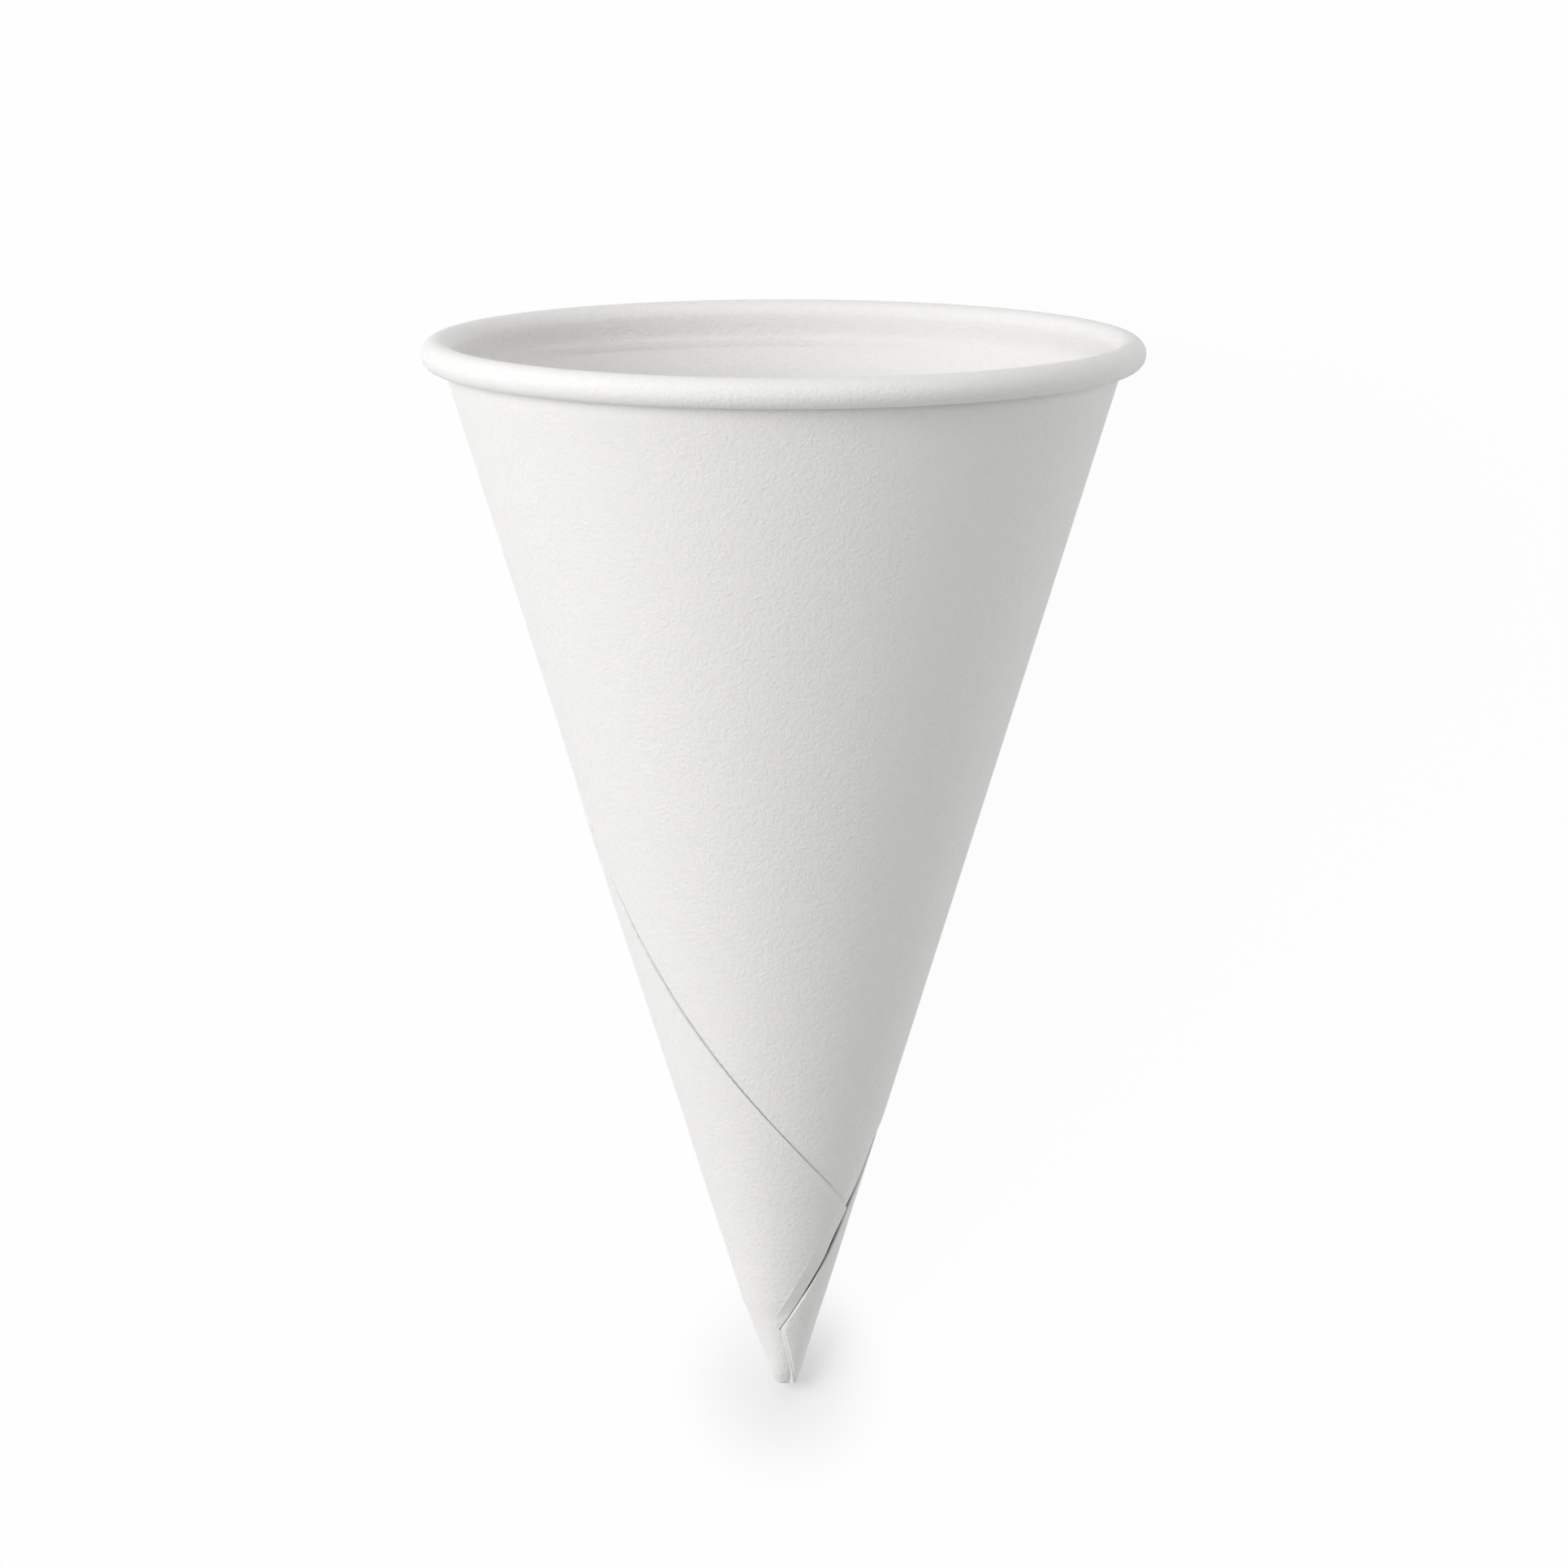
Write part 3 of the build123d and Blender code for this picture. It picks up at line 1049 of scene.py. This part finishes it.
    def end_rows(self, section: Section) -> list[list[Point]]:
        """Rings of the cut end's eye, up to the cut end's outer rim.

        Args:
            section: The outer face's section at the cut end.

        Returns:
            The rings, of which the first is the bottom of the eye.
        """
        cone = self.cone
        profile = [
            (0.0, cone.end_height + cone.eye_depth),
            (cone.eye_radius / 2, cone.end_height + cone.eye_depth / 2),
            (cone.eye_radius, cone.end_height),
        ]
        return cone.round_rings(profile, section)

    def build(self) -> bpy.types.Object:
        """Makes the wound sheet.

        Returns:
            The finished piece.
        """
        end_slant = self.cone.end_height / self.cone.cos_half
        section = self.outside_section(end_slant, self.cone.end_radius)
        rows = self.end_rows(section) + self.outside_rows() + self.roll_rows() + self.inside_rows()
        return sheet_of("wound_sheet", rows, caps=False)


@dataclass
class FoldedTab:
    """The folded tab, a leaf of the sheet with a sharp corner in its front edge.

    Attributes:
        cone: The cone that it lies on.
        cuts: The sheet's cut edges.
        top_drop: From the peak of the opening down to the tab's upper end.
        depth: How deep its front edge lies at the lap's corner.
        rise: How far its hem stands over the wall.
        sink: How deep its middle lies at the lap's corner.
        root: Depth of its inner face.
        root_free: How much deeper that is where its front edge stands free.
        root_end: Depth of its inner face at the cup's end.
        flank: Share of its width over which its front edge's height fades.
        back_flank: Share of its width over which its back edge sinks.
        back_sink: How far it sinks there.
        tuck: How far its back edge runs on under the turns, in degrees.
        end_width: Width of its lower end round the cup, in degrees.
        draw: Share of the hem from which its back edge draws in to that.
        gap_width: Of the open gap beside it.
        gap_corner: How much wider the gap is near the lap's corner.
        gap_slant: Where it is widest.
        gap_reach: How far along the slant that widening fades.
        hollow_reach: How far the hollow under its front edge runs in.
        cut_round: Rounding of its cut edge.
        hem_round: Rounding of its cut edge at the hem, which curls out a little.
        ply_width: Of the lower ply that shows beside the upper one at the hem.
        ply_drop: How much lower it lies.
        ply_start: How far over the hem's corner the two plies start to part.
        ply_full: How far under it they are fully apart.
    """

    cone: Cone
    cuts: SheetCuts
    top_drop: float = 0.0015
    depth: float = 0.00012
    rise: float = 0.0002
    sink: float = 0.0001
    root: float = 0.0005
    root_free: float = 0.00022
    root_end: float = 0.0008
    flank: float = 0.5
    back_flank: float = 0.08
    back_sink: float = 0.0001
    tuck: float = 6.0
    end_width: float = 40.0
    draw: float = 0.75
    gap_width: float = 0.00010
    gap_corner: float = 0.00060
    gap_slant: float = 0.0224
    gap_reach: float = 0.0050
    hollow_reach: float = 0.0012
    cut_round: float = 0.000035
    hem_round: float = 0.00012
    ply_width: float = 0.00016
    ply_drop: float = 0.00012
    ply_start: float = 0.0012
    ply_full: float = 0.0004

    # How many points go round a ring and how many rings there are, and how they are spaced.
    COLUMNS = 72
    SPACING = 1.2
    HIDDEN_COLUMNS = 10
    RING_COUNTS = (30, 40, 26)
    # Shares across and down of a cut edge's rounding.
    ROUNDING = ((0.0, 1.0), (0.3, 0.3), (1.0, 0.0), (2.5, 0.0))

    def gap_turn(self, slant: float, radius: float) -> float:
        """Width of the open gap beside the tab, as an angle round the cup."""
        near = math.exp(-(((slant - self.gap_slant) / self.gap_reach) ** 2))
        return math.degrees((self.gap_width + self.gap_corner * near) / radius)

    def front_edge(self, slant: float, radius: float) -> Section:
        """Turns in from the front edge and drops from the face, over one ply and then two.

        Args:
            slant: Where the section is.
            radius: Of the wall there.

        Returns:
            Pairs of a turn and a drop.
        """
        hem_slant = self.cuts.hem_corner[0]
        hemmed = ease(slant, self.cuts.corner[0], hem_slant)
        size = blend(hemmed, self.cut_round, self.hem_round)
        turn = math.degrees(size / radius)
        parted = ease(slant, hem_slant + self.ply_start, hem_slant - self.ply_full)
        width = math.degrees(self.ply_width * parted / radius)
        step = self.ply_drop * parted
        lower = [(across * turn, down * size + step) for across, down in self.ROUNDING[:-1]]
        upper = [(width + (1 + across) * turn, down * step) for across, down in self.ROUNDING]
        return lower + upper

    def section(self, slant: float) -> Section:
        """Azimuths and lifts round the tab's section, from its cut edge and back to it.

        Args:
            slant: Where the section is.

        Returns:
            Pairs of an azimuth and a lift.
        """
        cuts = self.cuts
        radius = self.cone.wall_radius(slant * self.cone.cos_half)
        left, right = cuts.tab_left(slant), cuts.tab_right(slant)
        low = share(slant, cuts.hem_corner[0], cuts.hem_end[0])
        hemmed = ease(slant, cuts.corner[0], cuts.hem_corner[0])
        edge = blend(hemmed, -self.depth, self.rise)
        sunk = -blend(share(slant, cuts.corner[0], cuts.hem_end[0]), self.sink, 0.0)
        free = cuts.free_edge(slant)
        root = -blend(low, self.root, self.root_end) - self.root_free * free
        drawn = share(low, self.draw, 1.0)
        start = left + self.gap_turn(slant, radius)
        end = blend(drawn, right + self.tuck, cuts.hem_end[1] + self.end_width)
        width = end - start

        def lift(part: float) -> float:
            """Lift of the face at a share of the width."""
            sunk_back = self.back_sink * share(part, 1 - self.back_flank, 1.0)
            return blend(fall(part / self.flank), sunk, edge) - sunk_back

        front = self.front_edge(slant, radius)
        section = [(start + turn, lift(turn / width) - drop) for turn, drop in front]
        first = front[-1][0] / width
        for step in range(1, self.COLUMNS + 1):
            part = blend((step / self.COLUMNS) ** self.SPACING, first, 1.0)
            section.append((blend(part, start, end), lift(part)))
        hollow_end = start + math.degrees(self.hollow_reach * free / radius)
        hidden = spaced([end, hollow_end], (self.HIDDEN_COLUMNS,))
        section += [(azimuth, root) for azimuth in hidden]
        under_face = blend(free, root, edge - self.cone.sheet)
        section += [(hollow_end, under_face), (start, under_face), section[0]]
        return section

    def build(self) -> bpy.types.Object:
        """Makes the folded tab.

        Returns:
            The finished piece.
        """
        cone, cuts = self.cone, self.cuts
        stops = [cuts.peak[0] - self.top_drop, cuts.corner[0], cuts.hem_corner[0], cuts.hem_end[0]]
        rows = []
        for slant in spaced(stops, self.RING_COUNTS):
            height = slant * cone.cos_half
            rows.append(cone.ring(cone.wall_radius(height), height, self.section(slant)))
        return sheet_of("folded_tab", rows, caps=True)


@dataclass(frozen=True)
class Noise:
    """A noise pattern on the piece's own coordinates.

    Attributes:
        scale: Of the pattern, for each metre.
        detail: How many finer layers it has.
        roughness: How strong they are.
        distortion: How far they are drawn out.
    """

    scale: float
    detail: float
    roughness: float = 0.5
    distortion: float = 0.0

    def add(self, tree: bpy.types.NodeTree, coordinates: bpy.types.Node) -> bpy.types.Node:
        """Adds the pattern's node, on the coordinates that another node gives.

        Args:
            tree: The material's nodes.
            coordinates: The node that gives the coordinates.

        Returns:
            The pattern's node.
        """
        node = tree.nodes.new("ShaderNodeTexNoise")
        node.inputs["Scale"].default_value = self.scale
        node.inputs["Detail"].default_value = self.detail
        node.inputs["Roughness"].default_value = self.roughness
        node.inputs["Distortion"].default_value = self.distortion
        tree.links.new(coordinates.outputs["Object"], node.inputs["Vector"])
        return node


def seen_directly(tree: bpy.types.NodeTree) -> bpy.types.Node:
    """Adds a value that is 1 for what the camera or a reflection sees, and 0 for other light.

    Args:
        tree: The nodes of a material or of the world.

    Returns:
        The node that gives the value.
    """
    path = tree.nodes.new("ShaderNodeLightPath")
    either = tree.nodes.new("ShaderNodeMath")
    either.operation = "MAXIMUM"
    tree.links.new(path.outputs["Is Camera Ray"], either.inputs[0])
    tree.links.new(path.outputs["Is Glossy Ray"], either.inputs[1])
    return either


@dataclass(frozen=True)
class PaperFinish:
    """White uncoated cup paper, faintly mottled, with a fine felt grain.

    Attributes:
        colour: Of most of the paper.
        cloudy: Of its faint darker mottle.
        clouds: Pattern of the mottle.
        mottle: Its values between which the one colour goes over into the other.
        roughness: Of its surface.
        specular: Level of its sheen.
        grain: Pattern of the felt's grain.
        grain_share: Strength of the grain beside the fibres.
        fibres: Pattern of the fibres.
        relief: Height of the grain and the fibres.
    """

    colour: tuple[float, float, float, float] = (0.855, 0.848, 0.835, 1.0)
    cloudy: tuple[float, float, float, float] = (0.840, 0.834, 0.822, 1.0)
    clouds: Noise = Noise(900.0, 5.0, roughness=0.6)
    mottle: tuple[float, float] = (0.35, 0.62)
    roughness: float = 0.72
    specular: float = 0.35
    grain: Noise = Noise(4200.0, 2.0)
    grain_share: float = 0.45
    fibres: Noise = Noise(2300.0, 4.0, distortion=0.2)
    relief: float = 0.000095

    def material(self) -> bpy.types.Material:
        """Makes the paper, with its pattern on the piece's own coordinates.

        Returns:
            The material.
        """
        material = bpy.data.materials.new("cup_paper")
        material.use_nodes = True
        tree = material.node_tree
        nodes, links = tree.nodes, tree.links
        shader = nodes["Principled BSDF"]
        shader.inputs["Roughness"].default_value = self.roughness
        shader.inputs["Specular IOR Level"].default_value = self.specular

        coordinates = nodes.new("ShaderNodeTexCoord")
        clouds = self.clouds.add(tree, coordinates)
        tint = nodes.new("ShaderNodeValToRGB")
        shades = (self.cloudy, self.colour)
        for element, position, shade in zip(tint.color_ramp.elements, self.mottle, shades):
            element.position = position
            element.color = shade
        links.new(clouds.outputs["Fac"], tint.inputs["Fac"])
        links.new(tint.outputs["Color"], shader.inputs["Base Color"])

        grain = self.grain.add(tree, coordinates)
        fibres = self.fibres.add(tree, coordinates)
        heights = nodes.new("ShaderNodeMath")
        heights.operation = "MULTIPLY_ADD"
        heights.inputs[1].default_value = self.grain_share
        bump = nodes.new("ShaderNodeBump")
        bump.inputs["Strength"].default_value = 1.0
        bump.inputs["Distance"].default_value = self.relief
        links.new(grain.outputs["Fac"], heights.inputs[0])
        links.new(fibres.outputs["Fac"], heights.inputs[2])
        links.new(heights.outputs["Value"], bump.inputs["Height"])
        links.new(bump.outputs["Normal"], shader.inputs["Normal"])
        return material


@dataclass(frozen=True)
class FloorFinish:
    """Plain white studio floor that keeps the cup's shadow.

    Attributes:
        colour: Of the floor.
        roughness: Of the floor.
        whitening: Share of plain white in what the camera sees of it.
        tip_whitening: The same beside the cup's point, where the shadow shows most.
        tip_reach: How far from the point that share lasts.
        clear_reach: How far from the point the full whitening starts.
    """

    colour: tuple[float, float, float, float] = (0.80, 0.80, 0.80, 1.0)
    roughness: float = 0.9
    whitening: float = 0.96
    tip_whitening: float = 0.40
    tip_reach: float = 0.0005
    clear_reach: float = 0.0120

    def material(self, point: Point) -> bpy.types.Material:
        """Makes the material: a matt floor, whitened for the camera and for reflections.

        Args:
            point: Where the cup's point is.

        Returns:
            The material.
        """
        material = bpy.data.materials.new("studio_floor")
        material.use_nodes = True
        nodes, links = material.node_tree.nodes, material.node_tree.links
        shader = nodes["Principled BSDF"]
        shader.inputs["Base Color"].default_value = self.colour
        shader.inputs["Roughness"].default_value = self.roughness

        coordinates = nodes.new("ShaderNodeTexCoord")
        away = nodes.new("ShaderNodeVectorMath")
        away.operation = "DISTANCE"
        away.inputs[1].default_value = point
        reach = nodes.new("ShaderNodeMapRange")
        reach.interpolation_type = "SMOOTHSTEP"
        reach.inputs["From Min"].default_value = self.tip_reach
        reach.inputs["From Max"].default_value = self.clear_reach
        reach.inputs["To Min"].default_value = self.tip_whitening
        reach.inputs["To Max"].default_value = self.whitening
        links.new(coordinates.outputs["Object"], away.inputs[0])
        links.new(away.outputs["Value"], reach.inputs["Value"])

        amount = nodes.new("ShaderNodeMath")
        amount.operation = "MULTIPLY"
        seen = seen_directly(material.node_tree)
        links.new(seen.outputs["Value"], amount.inputs[0])
        links.new(reach.outputs["Result"], amount.inputs[1])

        white = nodes.new("ShaderNodeEmission")
        mix = nodes.new("ShaderNodeMixShader")
        links.new(amount.outputs["Value"], mix.inputs["Fac"])
        links.new(shader.outputs["BSDF"], mix.inputs[1])
        links.new(white.outputs["Emission"], mix.inputs[2])
        links.new(mix.outputs["Shader"], nodes["Material Output"].inputs["Surface"])
        return material


@dataclass(frozen=True)
class SoftLamp:
    """A square soft lamp that looks at the cup.

    Attributes:
        name: Name of the lamp.
        azimuth: Round the standing cup, in degrees.
        elevation: Over the standing cup's level plane, in degrees.
        distance: From the cup's middle.
        size: Side of the lamp.
        power: In watts.
    """

    name: str
    azimuth: float
    elevation: float
    distance: float
    size: float
    power: float


@dataclass
class Studio:
    """Floor, world, lamps and camera.

    Attributes:
        camera_place: In the standing cup's frame.
        pitch: How far the camera looks down on the standing cup, in degrees.
        lens: Focal length, in millimetres.
        sensor: Width of the sensor, in millimetres.
        shift: Sideways shift of the frame.
        clip: Nearest and farthest distance that the camera sees.
        world_light: Strength of the even light.
        cup_middle: Height of the middle of the cup, where the lamps look.
        floor_side: Side of the floor.
        lamps: The soft lamps.
    """

    camera_place: Point = (0.0, -0.7016, 0.18779)
    pitch: float = 9.95
    lens: float = 167.7
    sensor: float = 36.0
    shift: float = 0.000383
    clip: tuple[float, float] = (0.01, 20.0)
    world_light: float = 0.280
    cup_middle: float = 0.060
    floor_side: float = 8.0
    lamps: tuple[SoftLamp, ...] = (
        SoftLamp("key", -46.0, 18.0, 0.90, 0.56, 6.0),
        SoftLamp("side", 90.0, 12.0, 0.80, 0.50, 2.3),
        SoftLamp("front", 0.0, 60.0, 0.80, 0.50, 1.2),
        SoftLamp("low", 0.0, -45.0, 1.20, 0.80, 1.0),
    )

    def floor(self) -> bpy.types.Object:
        """Makes the floor under the lying cup.

        Returns:
            The floor.
        """
        bpy.ops.object.select_all(action="DESELECT")
        bpy.ops.mesh.primitive_plane_add(size=self.floor_side)
        floor = bpy.context.active_object
        floor.name = floor.data.name = "studio_floor"
        point = resting_place() @ Vector((0.0, 0.0, Cone().end_height))
        floor.data.materials.append(FloorFinish().material((point.x, point.y, 0.0)))
        return floor

    def world(self) -> None:
        """Lights the scene evenly, with a white background."""
        world = bpy.data.worlds.new("studio_world")
        bpy.context.scene.world = world
        world.use_nodes = True
        nodes, links = world.node_tree.nodes, world.node_tree.links
        background = nodes["Background"]
        seen = seen_directly(world.node_tree)
        strength = nodes.new("ShaderNodeMix")
        strength.data_type = "FLOAT"
        strength.inputs["A"].default_value = self.world_light
        strength.inputs["B"].default_value = 1.0
        links.new(seen.outputs["Value"], strength.inputs["Factor"])
        links.new(strength.outputs["Result"], background.inputs["Strength"])
        background.inputs["Color"].default_value = (1.0, 1.0, 1.0, 1.0)

    def light(self, lamp: SoftLamp) -> None:
        """Hangs a soft lamp.

        Args:
            lamp: Its place, size and power.
        """
        turn, rise = math.radians(lamp.azimuth), math.radians(lamp.elevation)
        away = Vector(
            (math.sin(turn) * math.cos(rise), -math.cos(turn) * math.cos(rise), math.sin(rise))
        )
        middle = Vector((0.0, 0.0, self.cup_middle))
        place = resting_place()
        bpy.ops.object.light_add(type="AREA", location=place @ (middle + away * lamp.distance))
        light = bpy.context.active_object
        light.name = light.data.name = lamp.name
        light.data.shape = "SQUARE"
        light.data.size = lamp.size
        light.data.energy = lamp.power
        towards = place.to_3x3() @ -away
        light.rotation_euler = towards.to_track_quat("-Z", "Y").to_euler()

    def camera(self) -> None:
        """Sets the camera as the photograph's stood to the cup."""
        bpy.ops.object.camera_add()
        camera = bpy.context.active_object
        camera.data.lens = self.lens
        camera.data.sensor_width = self.sensor
        camera.data.shift_x = self.shift
        camera.data.clip_start, camera.data.clip_end = self.clip
        standing = Matrix.Translation(self.camera_place) @ Matrix.Rotation(
            math.radians(90.0 - self.pitch), 4, "X"
        )
        camera.matrix_world = resting_place() @ standing
        bpy.context.scene.camera = camera

    def build(self) -> None:
        """Builds the whole studio."""
        self.floor()
        self.world()
        for lamp in self.lamps:
            self.light(lamp)
        self.camera()
        bpy.context.scene.view_settings.view_transform = "Standard"


def dress(piece: bpy.types.Object, paper: bpy.types.Material) -> None:
    """Gives a piece its paper and its body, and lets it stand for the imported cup.

    Args:
        piece: The finished piece.
        paper: The paper that it is made of.
    """
    piece.data.materials.clear()
    piece.data.materials.append(paper)
    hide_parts(NODE)
    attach(piece, BODY)
    log.info("%s: %d faces", piece.name, len(piece.data.polygons))


def main() -> None:
    """Builds the studio and the cup."""
    logging.basicConfig(level=logging.INFO, format="%(message)s")
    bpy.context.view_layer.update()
    Studio().build()
    cone = Cone()
    cuts = SheetCuts(cone)
    paper = PaperFinish().material()
    for part in (WoundSheet(cone, cuts), FoldedTab(cone, cuts)):
        dress(part.build(), paper)


if __name__ == "__main__":
    main()
